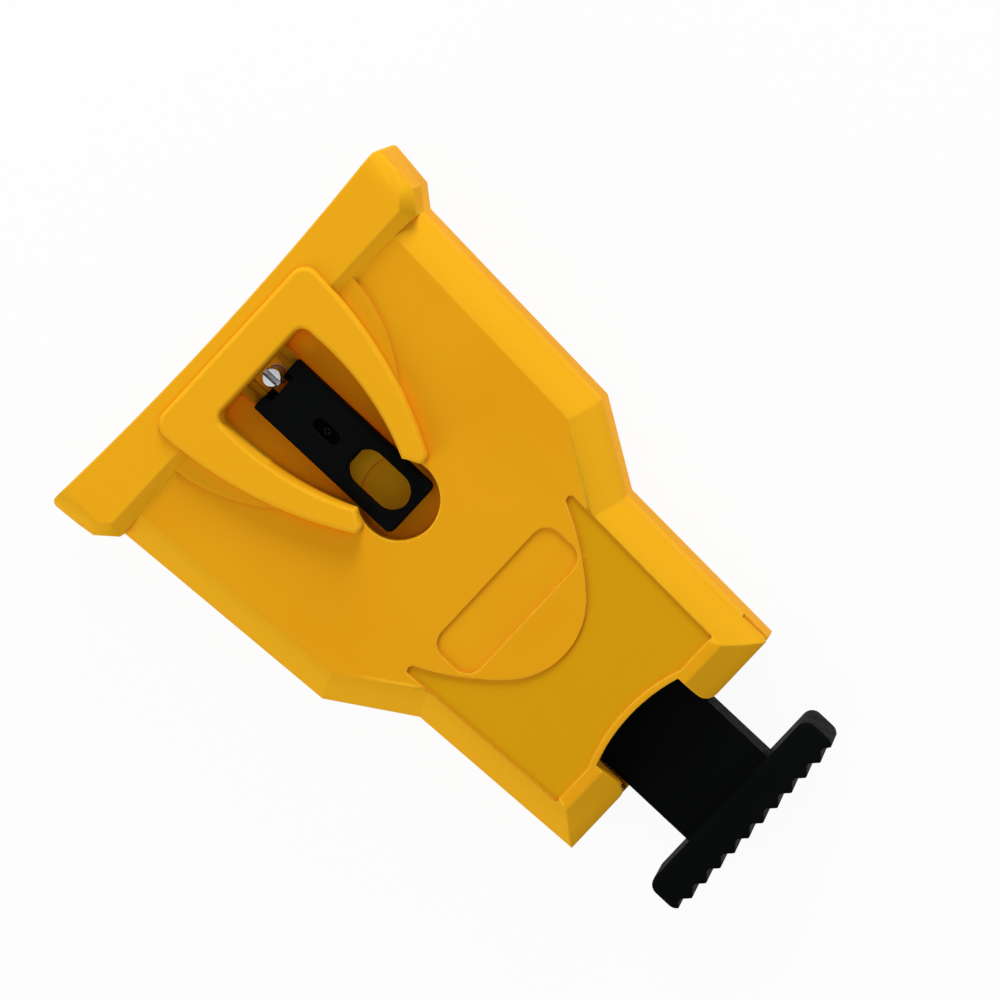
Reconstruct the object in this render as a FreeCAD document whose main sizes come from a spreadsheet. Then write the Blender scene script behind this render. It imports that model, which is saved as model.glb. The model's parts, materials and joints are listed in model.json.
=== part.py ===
"""Clip-on chain sharpener for a chainsaw's guide bar.

Two hinged moulded halves, a latch, and a stone on a push handle.

Frame: X across, +Y towards the wide mouth that takes the guide bar, +Z up from the back casing's underside.
The origin is under the middle of the part. All sizes are in millimetres.
"""
import FreeCAD, Part
import math
import os
import re
import Sketcher

vector = FreeCAD.Vector

# ------------------------------------------------------------------ driving sizes
sizes = {
    # outline of both casings, seen from above
    "mouth_y": 90,              # corners of the mouth
    "mouth_hollow": 2,          # depth of the mouth's curve
    "mouth_corner": 2.2,
    "case_length": 150.5,
    "flange_half": 59.5,
    "flange_draw": 1.6,         # how much narrower the flange is at its back
    "flange_depth": 18,
    "flange_corner": 5,         # slanted corner behind the flange
    "flange_slope": 3.5,        # width of the slope behind its crown
    "flange_round": 6.5,        # rounding over its two ends
    "body_half_mouth": 53.7,
    "body_half_shoulder": 50.1,
    "shoulder_from_mouth": 81,
    "neck_half_shoulder": 36.9,
    "neck_from_mouth": 101.5,
    "neck_half_tail": 34.9,
    # heights
    "split": 17,                # where the two casings meet
    "front_rise": 17,
    "flange_rise": 3,
    "frame_rise": 4.5,
    "pedestal_rise": 1.1,
    "flank_round": 8.5,
    "cell_rise": 5,             # depth of the hollows round the front casing's rim
    "back_inset": 3.5,          # slanted lower edge of the back casing
    "wall": 2.5,
    "rim_width": 9,             # outer wall to inner wall
    "rib": 1.8,
    "rib_pitch": 15,
    "inner_shoulder_lift": 3.7,
    "inner_neck_lift": 1,
    "mouth_wall": 10.5,         # mouth edge to the wall behind it
    "bar_slot_half": 42,
    "bar_slot_rise": 7.5,       # half the height of the slot for bar and chain
    "soft_edge": 1,
    # raised frame round the latch window
    "frame_top_half": 27.7,
    "frame_top_gap": 5.4,
    "frame_leg_half": 13.2,
    "frame_leg_gap": 59.2,
    "frame_bow": 108,
    "leg_tip_half": 11.4,
    "leg_tip_gap": 61.4,
    "leg_tip_round": 1.6,
    "frame_corner": 4,
    "frame_edge": 0.8,
    "window_gap": 15.6,
    "window_half": 15.7,
    "window_low_half": 8.4,
    "window_low_gap": 55.6,
    "window_bow": 75,
    "window_corner": 2.8,
    "window_floor": 27,
    "rail_rise": 1.5,
    "pedestal_half": 32.2,
    "pedestal_low_half": 20.6,
    "pedestal_low_gap": 43,
    "pedestal_bow": 48,
    "scoop_radius": 10.3,
    "scoop_gap": 61.5,
    "scoop_floor": 25.8,
    # grip panel, plate recess and notch on the neck
    "panel_depth": 0.7,
    "panel_half_top": 29.8,
    "panel_half_low": 27.8,
    "panel_top_gap": 92,
    "panel_low_gap": 139.8,
    "panel_horn": 2.4,
    "panel_curve_gap": 116.8,
    "panel_curve_radius": 20,
    "panel_side_radius": 70,
    "plate_half": 20.9,
    "plate_gap": 91.2,
    "plate_width": 12.9,
    "plate_corner": 4.4,
    "notch_side_gap": 140.8,
    "notch_apex_gap": 138.4,
    "notch_clear": 0.5,
    "notch_flare": 3,           # rounded corners where the notch meets the tail
    # hinge at the tail
    "hinge_rise": 3,            # hinge axis above the split
    "hinge_gap": 4,             # hinge axis to the tail's end
    "knuckle_radius": 3.7,
    "hinge_pin_radius": 1.5,
    "ear_inner": 16.2,
    "ear_width": 4,
    "ear_setback": 0.5,         # outer ear to the neck's side
    "hinge_clear": 0.3,
    "running": 0.06,
    # latch slider
    "slider_half": 8,
    "slider_gap": 20.5,
    "slider_length": 45.4,
    "slider_thick": 5,
    "slider_lift": 0.1,
    "slider_travel": 4.5,
    "slider_corner": 1.7,
    "slider_fork_corner": 0.5,
    "tongue_half": 5.7,
    "tongue_length": 24,
    "tongue_setback": 2.3,
    "fork_half": 4.1,
    "fork_depth": 2.2,
    "finger_half": 4.9,
    "finger_length": 17.5,
    "finger_gap": 55,
    "keeper_gap": 37.6,
    "keeper_half": 5.5,
    "keeper_length": 14,
    "keeper_thick": 2,
    "keeper_neck_half": 2.9,
    "keeper_neck_length": 6,
    "slide_clear": 0.2,
    "screw_pocket_half": 1.7,
    "screw_pocket_length": 8,
    "screw_pocket_depth": 2.5,
    "small_screw_radius": 0.9,
    "small_head_radius": 1.55,
    "small_head_rise": 1.5,
    # pins that pass through the guide bar
    "latch_pin_gap": 18.7,
    "locating_pin_gap": 49,
    "pin_radius": 2.5,
    "pin_step": 21.5,
    "pin_waist_radius": 2.2,
    "pin_neck_radius": 1.6,
    "pin_head_rise": 1.5,
    "pin_neck_rise": 2.1,
    "pin_slot_half": 0.8,
    "pin_slot_depth": 0.9,
    "pin_stub_radius": 2,
    "pin_fit": 0.02,
    "locating_pin_top": 22,
    "boss_radius": 7,
    "boss_top": 14.5,
    "nut_recess_radius": 5,
    "nut_recess_depth": 5,
    "nut_flats": 7,
    "nut_thick": 3,
    "washer_radius": 4.4,
    "washer_thick": 0.8,
    "stub_low": 0.6,
    # push handle, stone and clamp
    "stem_half": 14.2,
    "stem_half_thick": 7,
    "stem_clear": 0.3,
    "bar_half": 28.4,
    "bar_half_thick": 13,
    "bar_inner_gap": 170,
    "bar_outer_gap": 180,
    "bar_corner": 2.8,
    "tooth_depth": 1.8,
    "tooth_pitch": 5.1,
    "carriage_half": 25,
    "carriage_front_gap": 90.5,
    "carriage_length": 28,
    "carriage_floor": 2,
    "guide_clear": 0.3,
    "handle_travel": 9,
    "stone_half": 23.5,
    "stone_thick": 11,
    "stone_front_gap": 94.6,
    "stone_front_radius": 36,
    "stone_back_gap": 110.4,
    "stone_back_radius": 28,
    "stone_fit": 0.05,
    "clamp_half": 7,
    "clamp_thick": 1.2,
    "clamp_back_gap": 117,
    "clamp_front_gap": 106.4,
    "clamp_screw_gap": 113.4,
    "clamp_screw_radius": 1.5,
    "clamp_head_radius": 3,
    "clamp_head_rise": 1.8,
    "clamp_nut_flats": 5.5,
    "clamp_nut_thick": 2.4,
}

# ------------------------------------------------------------------ places worked out from them
places = {
    "tail_y": "mouth_y - case_length",
    "shoulder_y": "mouth_y - shoulder_from_mouth",
    "neck_y": "mouth_y - neck_from_mouth",
    "flange_rear_y": "mouth_y - flange_depth",
    "body_top": "split + front_rise",
    "flange_top": "body_top + flange_rise",
    "frame_top": "body_top + frame_rise",
    "roof": "body_top - wall",
    "inner_inset": "rim_width + wall - 0.5",
    "guide_half": "carriage_half + guide_clear",
    "stop_y": "carriage_back_y - 2 * slide_clear",
    "carriage_front_y": "mouth_y - carriage_front_gap",
    "carriage_back_y": "carriage_front_y - carriage_length",
    "stem_low": "split - stem_half_thick",
    "stem_top": "split + stem_half_thick",
    "notch_half": "stem_half + notch_clear",
    "notch_sag": "notch_side_gap - notch_apex_gap",
    "notch_bow": "(notch_half ^ 2 + notch_sag ^ 2) / (2 * notch_sag)",
    "hinge_y": "tail_y + hinge_gap",
    "hinge_z": "split + hinge_rise",
    "relief": "knuckle_radius + 2 * hinge_clear",
    "knuckle_width": "neck_half_tail - ear_setback - ear_inner - 2 * (ear_width + hinge_clear)",
    "ear_outer": "knuckle_inner + knuckle_width + hinge_clear",
    "knuckle_inner": "ear_inner + ear_width + hinge_clear",
    "lane_half": "slider_half + 2 * slide_clear",
    "rail_top": "window_floor + rail_rise",
    "slider_low": "rail_top + slider_lift",
    "slider_top": "slider_low + slider_thick",
    "slider_y": "mouth_y - slider_gap",
    "slider_end_y": "slider_y - slider_length",
    "tongue_low": "window_floor + 0.75 * slide_clear",
    "tongue_top": "slider_low + slide_clear",
    "tongue_y": "slider_y - tongue_setback",
    "keeper_y": "mouth_y - keeper_gap",
    "keeper_top": "window_floor - wall - slide_clear",
    "latch_pin_y": "mouth_y - latch_pin_gap",
    "locating_pin_y": "mouth_y - locating_pin_gap",
    "pin_neck_low": "window_floor",
    "pin_head_low": "pin_neck_low + pin_neck_rise",
    "pin_top": "pin_head_low + pin_head_rise",
    "window_y": "mouth_y - window_gap",
    "step_y": "mouth_y - window_low_gap",
    "stone_low": "stem_low + carriage_floor",
    "stone_top": "stone_low + stone_thick",
    "stone_back_y": "mouth_y - stone_back_gap",
    "stone_front_y": "mouth_y - stone_front_gap",
    "clamp_y": "mouth_y - clamp_screw_gap",
}

doc = FreeCAD.newDocument("chain_sharpener")
sheet = doc.addObject("Spreadsheet::Sheet", "Sizes")
for row, (word, number) in enumerate(sizes.items(), start=1):
    sheet.set(f"A{row}", word)
    sheet.set(f"B{row}", str(number))
    sheet.setAlias(f"B{row}", word)
doc.recompute()


# ------------------------------------------------------------------ helpers
def bound(text):
    """An expression on the sheet's cells, from one written with the words above."""
    def swap(match):
        word = match[0]
        if word in places:
            return "(" + bound(places[word]) + ")"
        return "Sizes." + word if word in sizes else word
    return re.sub(r"[a-z_]+[a-z0-9_]*", swap, str(text))


def number(text):
    """The value that such an expression has now."""
    return float(sheet.evalExpression(bound(text)))


def new_body(name):
    body = doc.addObject("PartDesign::Body", name)
    body.Label = name
    return body


def new_sketch(body, name, height="0", plane="XY_Plane"):
    """An empty sketch on one of the body's own planes, raised along the plane's normal."""
    support = next(item for item in body.Origin.OriginFeatures if item.Role == plane)
    sketch = body.newObject("Sketcher::SketchObject", f"{body.Name}_{name}_sketch")
    sketch.AttachmentSupport = (support, [""])
    sketch.MapMode = "FlatFace"
    sketch.setExpression("AttachmentOffset.Base.z", bound(height))
    return sketch


def place_point(sketch, index, role, across, up):
    """Ties one point of the sketch to a pair of expressions."""
    for kind, text in (("DistanceX", across), ("DistanceY", up)):
        at = sketch.addConstraint(Sketcher.Constraint(kind, -1, 1, index, role, number(text)))
        sketch.setExpression(f"Constraints[{at}]", bound(text))


def draw(sketch, corners):
    """A closed outline. A corner is (x, y), or (x, y, radius) where an arc leaves it.

    A radius with a minus turns clockwise.
    """
    points = [vector(number(corner[0]), number(corner[1]), 0) for corner in corners]
    radii = [corner[2] if len(corner) > 2 else None for corner in corners]
    first = sketch.GeometryCount
    ends = []
    for k, start in enumerate(points):
        end = points[(k + 1) % len(points)]
        if radii[k] is None:
            sketch.addGeometry(Part.LineSegment(start, end), False)
            ends.append((1, 2))
            continue
        radius = number(radii[k])
        turn = 1 if radius > 0 else -1
        chord = end - start
        left = vector(-chord.y, chord.x, 0).normalize()
        rise = abs(radius) - math.sqrt(max(radius ** 2 - (chord.Length / 2) ** 2, 0))
        index = sketch.addGeometry(Part.Arc(start, (start + end) / 2 - left * turn * rise, end), False)
        at = sketch.addConstraint(Sketcher.Constraint("Radius", index, abs(radius)))
        sketch.setExpression(f"Constraints[{at}]", bound(f"abs({radii[k]})"))
        ends.append((1, 2) if turn > 0 else (2, 1))
    for k, corner in enumerate(corners):
        following = (k + 1) % len(corners)
        place_point(sketch, first + k, ends[k][0], corner[0], corner[1])
        sketch.addConstraint(
            Sketcher.Constraint("Coincident", first + k, ends[k][1], first + following, ends[following][0])
        )


def ring(sketch, across, up, radius):
    """A circle."""
    middle = vector(number(across), number(up), 0)
    index = sketch.addGeometry(Part.Circle(middle, vector(0, 0, 1), number(radius)), False)
    place_point(sketch, index, 3, across, up)
    at = sketch.addConstraint(Sketcher.Constraint("Radius", index, number(radius)))
    sketch.setExpression(f"Constraints[{at}]", bound(radius))


def box(left, low, right, high):
    return [(left, low), (right, low), (right, high), (left, high)]


def both_sides(right, top=None, low=None):
    """Closes a right-hand side, given from its low end up, with its mirror image."""
    radii = [corner[2] if len(corner) > 2 else None for corner in right]
    up = [(corner[0], corner[1], radii[k]) for k, corner in enumerate(right[:-1])]
    up.append((right[-1][0], right[-1][1], top))
    down = []
    for k in range(len(right) - 1, -1, -1):
        down.append((f"-({right[k][0]})", right[k][1], radii[k - 1] if k else low))
    return [corner if corner[2] else corner[:2] for corner in up + down]


def slot(half, low, high, open_top=False):
    """A long hole along Y with round ends, or with only its low end round."""
    top = [(half, high), (f"-({half})", high)]
    if not open_top:
        top = [(half, high, half), ("0", f"({high}) + ({half})", half), (f"-({half})", high)]
    return [("0", f"({low}) - ({half})", half), (half, low)] + top + [(f"-({half})", low, half)]


def settle(body, feature, before, grows):
    """Recomputes, and stops where the feature failed or didn't change the volume the way it should."""
    doc.recompute()
    shape = feature.Shape
    if "Invalid" in feature.State or "Error" in feature.State or shape.isNull() or not shape.isValid():
        raise RuntimeError(f"{feature.Name} failed")
    change = shape.Volume - before
    if grows is not None and change * (1 if grows else -1) <= 0:
        raise RuntimeError(f"{feature.Name} changed the volume by {change:.2f}")
    body.Tip = feature
    return feature


def volume_of(body):
    return 0.0 if body.Tip is None else body.Tip.Shape.Volume


def pad(body, name, outlines, low, high, taper=None, plane="XY_Plane"):
    """Adds an outline's solid between two heights. A taper is how far its sides lean in over that rise."""
    before = volume_of(body)
    sketch = new_sketch(body, name, low, plane)
    fill(sketch, outlines)
    feature = body.newObject("PartDesign::Pad", f"{body.Name}_{name}")
    feature.Profile = sketch
    feature.setExpression("Length", bound(f"({high}) - ({low})"))
    if taper:
        feature.setExpression("TaperAngle", bound(f"-atan(({taper}) / (({high}) - ({low})))"))
    return settle(body, feature, before, True)


def sink(body, name, outlines, low, high, taper):
    """Adds an outline's solid below a height, with sides that lean in towards its foot."""
    before = volume_of(body)
    sketch = new_sketch(body, name, high)
    fill(sketch, outlines)
    feature = body.newObject("PartDesign::Pad", f"{body.Name}_{name}")
    feature.Profile = sketch
    feature.Reversed = True
    feature.setExpression("Length", bound(f"({high}) - ({low})"))
    feature.setExpression("TaperAngle", bound(f"-atan(({taper}) / (({high}) - ({low})))"))
    return settle(body, feature, before, True)


def pocket(body, name, outlines, low, high, plane="XY_Plane"):
    """Cuts an outline away between two heights."""
    before = volume_of(body)
    sketch = new_sketch(body, name, high, plane)
    fill(sketch, outlines)
    feature = body.newObject("PartDesign::Pocket", f"{body.Name}_{name}")
    feature.Profile = sketch
    feature.setExpression("Length", bound(f"({high}) - ({low})"))
    return settle(body, feature, before, False)


def fill(sketch, outlines):
    """Outlines are corner lists, or (x, y, radius) for a circle."""
    for outline in outlines:
        if isinstance(outline, tuple):
            ring(sketch, *outline)
        else:
            draw(sketch, outline)
    doc.recompute()


def round_edges(body, name, radius, wanted):
    """Rounds those edges of the body so far that the test picks."""
    base = body.Tip
    before = base.Shape.Volume
    names = [f"Edge{k}" for k, edge in enumerate(base.Shape.Edges, start=1) if wanted(edge)]
    feature = body.newObject("PartDesign::Fillet", f"{body.Name}_{name}")
    feature.Base = (base, names)
    feature.setExpression("Radius", bound(radius))
    return settle(body, feature, before, None)


def bevel_edges(body, name, size, wanted):
    """Cuts a 45 degree bevel along those edges of the body so far that the test picks."""
    base = body.Tip
    names = [f"Edge{k}" for k, edge in enumerate(base.Shape.Edges, start=1) if wanted(edge)]
    feature = body.newObject("PartDesign::Chamfer", f"{body.Name}_{name}")
    feature.Base = (base, names)
    feature.setExpression("Size", bound(size))
    return settle(body, feature, base.Shape.Volume, False)


def upright(edge):
    """True of an edge that stands parallel to Z."""
    reach = edge.BoundBox
    return reach.XLength < 1e-6 and reach.YLength < 1e-6


def level(edge, height):
    """True of an edge that lies at this height."""
    reach = edge.BoundBox
    return abs(reach.ZMin - height) < 1e-4 and abs(reach.ZMax - height) < 1e-4


def turned(name, profile, across="0", along="0"):
    """A turned piece from half its section, given as (radius, height) corners, on an upright axis."""
    body = new_body(name)
    sketch = new_sketch(body, "section", "0", "XZ_Plane")
    fill(sketch, [profile])
    feature = body.newObject("PartDesign::Revolution", f"{name}_turning")
    feature.Profile = sketch
    feature.ReferenceAxis = (sketch, ["V_Axis"])
    feature.Angle = 360
    settle(body, feature, 0.0, True)
    body.setExpression("Placement.Base.x", bound(across))
    body.setExpression("Placement.Base.y", bound(along))
    return body


def hex_nut(name, flats, bore, low, thick, across="0", along="0"):
    """A hexagon nut with a plain bore, as one cut of two primitives."""
    prism = doc.addObject("Part::Prism", f"{name}_blank")
    prism.Polygon = 6
    prism.setExpression("Circumradius", bound(f"({flats}) / sqrt(3)"))
    prism.setExpression("Height", bound(thick))
    hole = doc.addObject("Part::Cylinder", f"{name}_bore")
    hole.setExpression("Radius", bound(bore))
    hole.setExpression("Height", bound(thick))
    nut = doc.addObject("Part::Cut", name)
    nut.Label = name
    nut.Base = prism
    nut.Tool = hole
    for axis, text in (("x", across), ("y", along), ("z", low)):
        nut.setExpression(f"Placement.Base.{axis}", bound(text))
    doc.recompute()
    return nut


# ------------------------------------------------------------------ outlines that both casings share
def hull():
    """The casing without its flange."""
    return both_sides([
        ("neck_half_tail", "tail_y"),
        ("neck_half_shoulder", "neck_y"),
        ("body_half_shoulder", "shoulder_y"),
        ("body_half_mouth", "flange_rear_y"),
        ("body_half_mouth", "mouth_y - mouth_hollow"),
    ])


def flange(beyond="0"):
    """The wide lip round the mouth."""
    return both_sides([
        ("body_half_mouth", "flange_rear_y"),
        ("flange_half - flange_draw", "flange_rear_y + flange_corner"),
        ("flange_half", "mouth_y"),
        ("flange_half", f"mouth_y + ({beyond})"),
    ])


def beyond_mouth():
    """What lies past the mouth's hollow curve."""
    reach = "(flange_half - mouth_corner)"
    radius = f"({reach} ^ 2 + mouth_hollow ^ 2) / (2 * mouth_hollow)"
    return [
        (f"-{reach}", "mouth_y", radius),
        (reach, "mouth_y", "-mouth_corner"),
        ("flange_half", "mouth_y - mouth_corner"),
        ("flange_half + 1", "mouth_y - mouth_corner"),
        ("flange_half + 1", "mouth_y + 3 * flange_rise"),
        ("-(flange_half + 1)", "mouth_y + 3 * flange_rise"),
        ("-(flange_half + 1)", "mouth_y - mouth_corner"),
        ("-flange_half", "mouth_y - mouth_corner", "-mouth_corner"),
    ]


def inner_room(outset="0"):
    """The room for bar, chain and carriage inside the inner wall, moved out by an outset."""
    return both_sides([
        (f"guide_half + ({outset})", f"stop_y - ({outset})"),
        (f"guide_half + ({outset})", "neck_y + inner_neck_lift"),
        (f"body_half_shoulder - inner_inset + ({outset})", "shoulder_y + inner_shoulder_lift"),
        (f"body_half_mouth - inner_inset + ({outset})", f"mouth_y - mouth_wall - wall + ({outset})"),
    ])


def rim_cells():
    """The closed trough between the outer and the inner wall."""
    outer = both_sides([
        ("neck_half_tail - wall", "hinge_y + relief + wall"),
        ("neck_half_shoulder - wall", "neck_y"),
        ("body_half_shoulder - wall", "shoulder_y"),
        ("body_half_mouth - wall", "flange_rear_y"),
        ("body_half_mouth - wall", "mouth_y - mouth_hollow - wall"),
    ])
    return [outer, inner_room("wall - 0.5")]


def side_at(along):
    """Half-width of the wide part of the hull at some Y."""
    lean = "(body_half_mouth - body_half_shoulder) / (flange_rear_y - shoulder_y)"
    return f"body_half_shoulder + (({along}) - shoulder_y) * {lean}"


def brace_outlines():
    """Slanting ribs, in turn one way and the other, that tie the outer wall to the inner one."""
    outlines = []
    count = int((number("flange_rear_y") - number("shoulder_y")) // number("rib_pitch"))
    for k in range(count):
        low = f"shoulder_y + inner_shoulder_lift + {k} * rib_pitch"
        high = f"({low}) + rim_width - wall"
        outer, inner = (low, high) if k % 2 else (high, low)
        for side in ("", "-"):
            outlines.append([
                (f"{side}({side_at(outer)} - wall / 2)", outer),
                (f"{side}({side_at(outer)} - wall / 2)", f"({outer}) + rib"),
                (f"{side}({side_at(inner)} - rim_width - wall / 4)", f"({inner}) + rib"),
                (f"{side}({side_at(inner)} - rim_width - wall / 4)", inner),
            ])
    return outlines


def mouth_braces():
    """Short ribs between the mouth's edge and the wall behind it, outside the bar's slot."""
    outlines = []
    for side in ("", "-"):
        edge = f"{side}(bar_slot_half + wall)"
        far = f"{side}(bar_slot_half + wall + rib)"
        outlines.append([
            (edge, "mouth_y - mouth_wall - wall / 2"),
            (far, "mouth_y - mouth_wall - wall / 2"),
            (far, "mouth_y - mouth_hollow - wall / 2"),
            (edge, "mouth_y - mouth_hollow - wall / 2"),
        ])
    return outlines


def hinge_hole(body, name, radius):
    """The hinge pin's hole, along X through everything in its way."""
    reach = "ear_outer + ear_width + 1"
    pocket(body, name, [("hinge_y", "hinge_z", radius)], f"-({reach})", reach, "YZ_Plane")


# ------------------------------------------------------------------ front casing
def front_casing():
    body = new_body("front_casing")
    pad(body, "hull", [hull()], "split", "body_top")
    top = number("body_top")
    round_edges(body, "flanks", "flank_round", lambda edge: level(edge, top))
    pad(body, "flange", [flange("2 * flange_rise")], "split", "body_top")
    pad(body, "flange_crown", [flange("2 * flange_rise")], "body_top", "flange_top", "flange_slope")
    pocket(body, "flange_ends", flange_ends(), "-(mouth_y + 3 * flange_rise)", "1 - flange_rear_y",
           "XZ_Plane")
    pad(body, "pedestal", [both_sides([
        ("pedestal_low_half", "mouth_y - pedestal_low_gap", "pedestal_bow"),
        ("pedestal_half", "flange_rear_y + soft_edge"),
        ("pedestal_half", "flange_rear_y + 2 * flange_rise"),
    ])], "body_top - wall / 2", "body_top + pedestal_rise")
    pocket(body, "mouth_curve", [beyond_mouth()], "split - 1", "frame_top")
    latch_frame(body)
    rooms(body)
    latch_window(body)
    neck_top(body)
    front_hinge(body)
    return body


def flange_ends():
    """What lies outside the rounded ends of the flange, seen along Y."""
    low = "flange_top - flange_round"
    outlines = []
    for side, turn in (("", ""), ("-", "-")):
        outlines.append([
            (f"{side}flange_half", low, f"{turn}flange_round"),
            (f"{side}(flange_half - flange_round)", "flange_top"),
            (f"{side}(flange_half - flange_round)", "flange_top + 1"),
            (f"{side}(flange_half + 1)", "flange_top + 1"),
            (f"{side}(flange_half + 1)", low),
        ])
    return outlines


def latch_frame(body):
    """The raised frame like a blunt arrowhead, open at its foot."""
    frame = [
        ("-frame_top_half", "mouth_y - frame_top_gap"),
        ("-(frame_top_half - 0.3)", "mouth_y - frame_top_gap - frame_corner", "frame_bow"),
        ("-frame_leg_half", "mouth_y - frame_leg_gap"),
        ("-leg_tip_half", "mouth_y - leg_tip_gap"),
        ("-window_low_half", "step_y", "-window_bow"),
        ("-window_half", "window_y - frame_corner"),
        ("-window_half", "window_y - window_corner", "-window_corner"),
        ("-(window_half - window_corner)", "window_y"),
        ("window_half - window_corner", "window_y", "-window_corner"),
        ("window_half", "window_y - window_corner"),
        ("window_half", "window_y - frame_corner", "-window_bow"),
        ("window_low_half", "step_y"),
        ("leg_tip_half", "mouth_y - leg_tip_gap"),
        ("frame_leg_half", "mouth_y - frame_leg_gap", "frame_bow"),
        ("frame_top_half - 0.3", "mouth_y - frame_top_gap - frame_corner"),
        ("frame_top_half", "mouth_y - frame_top_gap"),
    ]
    pad(body, "frame", [frame], "body_top - wall / 2", "frame_top")
    foot = number("flange_top")
    corner_y = number("mouth_y - frame_top_gap")
    tip_low = number("mouth_y - leg_tip_gap")
    tip_high = number("mouth_y - frame_leg_gap")
    round_edges(body, "frame_corners", "frame_corner", lambda edge: (
        upright(edge) and edge.BoundBox.ZMax > foot + 1 and abs(edge.BoundBox.YMin - corner_y) < 0.1))
    round_edges(body, "frame_tips", "leg_tip_round", lambda edge: (
        upright(edge) and edge.BoundBox.ZMax > foot + 1
        and tip_low - 0.1 < edge.BoundBox.YMin < tip_high + 0.1))
    top = number("frame_top")
    bevel_edges(body, "frame_edges", "frame_edge", lambda edge: level(edge, top))


def rooms(body):
    """Hollows, inner wall and ribs on the side that faces the back casing."""
    pocket(body, "cells", rim_cells(), "split - 1", "split + cell_rise")
    pad(body, "braces", brace_outlines() + mouth_braces(), "split + 1", "split + cell_rise + wall / 2")
    pocket(body, "room", [inner_room()], "split - 1", "roof")
    pocket(body, "tail_room", [box("-(guide_half + rib)", "hinge_y + relief + wall", "guide_half + rib",
                                   "stop_y - 2 * wall")], "split - 1", "roof")
    pad(body, "window_tub", [both_sides([
        ("lane_half + 2 * wall", "mouth_y - scoop_gap - scoop_radius - wall"),
        ("window_half + wall", "window_y - frame_corner"),
        ("window_half + wall", "window_y + wall"),
    ])], "window_floor - wall", "roof + wall / 2")
    pocket(body, "bar_slot", [box("-bar_slot_half", "mouth_y - mouth_wall - 2 * wall", "bar_slot_half",
                                  "mouth_y + 1")], "split - 1", "split + bar_slot_rise")


def latch_window(body):
    """The well that the slider runs in, its rails, its slot and the pin's opening."""
    window = both_sides([
        ("window_low_half", "step_y", "window_bow"),
        ("window_half", "window_y - frame_corner"),
        ("window_half", "window_y - window_corner", "window_corner"),
        ("window_half - window_corner", "window_y"),
    ])
    pocket(body, "window", [window], "window_floor", "frame_top + 1")
    pocket(body, "scoop", [("0", "mouth_y - scoop_gap", "scoop_radius")], "scoop_floor", "frame_top + 1")
    rail = "tongue_half + slide_clear"
    pad(body, "rails", [
        box(f"-({rail} + wall - 0.5)", "step_y - soft_edge", f"-({rail})", "window_y + soft_edge"),
        box(f"{rail}", "step_y - soft_edge", f"{rail} + wall - 0.5", "window_y + soft_edge"),
    ], "window_floor - soft_edge", "rail_top")
    pocket(body, "pin_opening", [box("-(pin_radius + 1.5)", "tongue_y - 2 * slide_clear", "pin_radius + 1.5",
                                     "window_y")], "window_floor - 2 * wall", "rail_top")
    neck = "keeper_neck_half + slide_clear"
    reach = "keeper_neck_length / 2 + slide_clear"
    pocket(body, "keeper_slot", [box(f"-({neck})", f"keeper_y - ({reach})", f"{neck}",
                                     f"keeper_y + slider_travel + {reach}")],
           "window_floor - 2 * wall", "rail_top")


def neck_top(body):
    """Shallow grip panel with two horns, the blank plate recess above it, and the notch over the stem."""
    low_y = "mouth_y - panel_low_gap"
    horn_y = "mouth_y - panel_top_gap"
    curve_y = "mouth_y - panel_curve_gap"
    bend = "panel_curve_radius * sin(45)"
    lip = "notch_half + 2"
    right = [
        (lip, f"{low_y}"),
        ("panel_half_low", low_y),
        ("panel_half_top", horn_y),
        ("panel_half_top - panel_horn", horn_y, "-panel_side_radius"),
        (bend, f"{curve_y} + panel_curve_radius - {bend}"),
    ]
    left = [(f"-({corner[0]})", corner[1]) for corner in reversed(right)]
    right[2] = right[2] + ("0.55 * panel_horn",)
    right[-1] = right[-1] + ("-panel_curve_radius",)
    left[0] = left[0] + ("-panel_side_radius",)
    left[1] = left[1] + ("0.55 * panel_horn",)
    left[-1] = left[-1] + ("-(notch_bow)",)
    pocket(body, "panel", [right + left], "body_top - panel_depth", "body_top + 1")
    plate_y = "mouth_y - plate_gap"
    low_plate = f"{plate_y} - plate_width"
    plate = both_sides([
        ("plate_half - plate_corner", low_plate, "plate_corner"),
        ("plate_half", f"{low_plate} + plate_corner"),
        ("plate_half", f"{plate_y} - plate_corner", "plate_corner"),
        ("plate_half - plate_corner", plate_y),
    ])
    pocket(body, "plate", [plate], "body_top - panel_depth", "body_top + 1")
    notch = both_sides([
        ("notch_half + notch_flare", "tail_y - 1"),
        ("notch_half + notch_flare", "tail_y", "-notch_flare"),
        ("notch_half", "tail_y + notch_flare"),
        ("notch_half", "mouth_y - notch_side_gap"),
    ], top="notch_bow")
    pocket(body, "notch", [notch], "split - 1", "frame_top")
    pocket(body, "stem_way", [box("-notch_half", "tail_y", "notch_half", "stop_y + wall")],
           "split - 1", "stem_top + stem_clear")


def front_hinge(body):
    """Room for the back casing's ears, and a knuckle on each side."""
    pocket(body, "ear_room", [box("-flange_half", "tail_y - 1", "flange_half", "hinge_y + relief")],
           "split - 1", "hinge_z + relief")
    for side, sign in (("right", ""), ("left", "-")):
        near, far = ("knuckle_inner", "knuckle_inner + knuckle_width")
        low, high = (near, far) if not sign else (f"-({far})", f"-({near})")
        outline = [
            ("hinge_y - knuckle_radius", "hinge_z + relief + wall / 2"),
            ("hinge_y - knuckle_radius", "hinge_z", "knuckle_radius"),
            ("hinge_y", "hinge_z - knuckle_radius", "knuckle_radius"),
            ("hinge_y + knuckle_radius", "hinge_z"),
            ("hinge_y + knuckle_radius", "hinge_z + relief + wall / 2"),
        ]
        pad(body, f"knuckle_{side}", [outline], low, high, plane="YZ_Plane")
    hinge_hole(body, "hinge_hole", "hinge_pin_radius + running")


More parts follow.
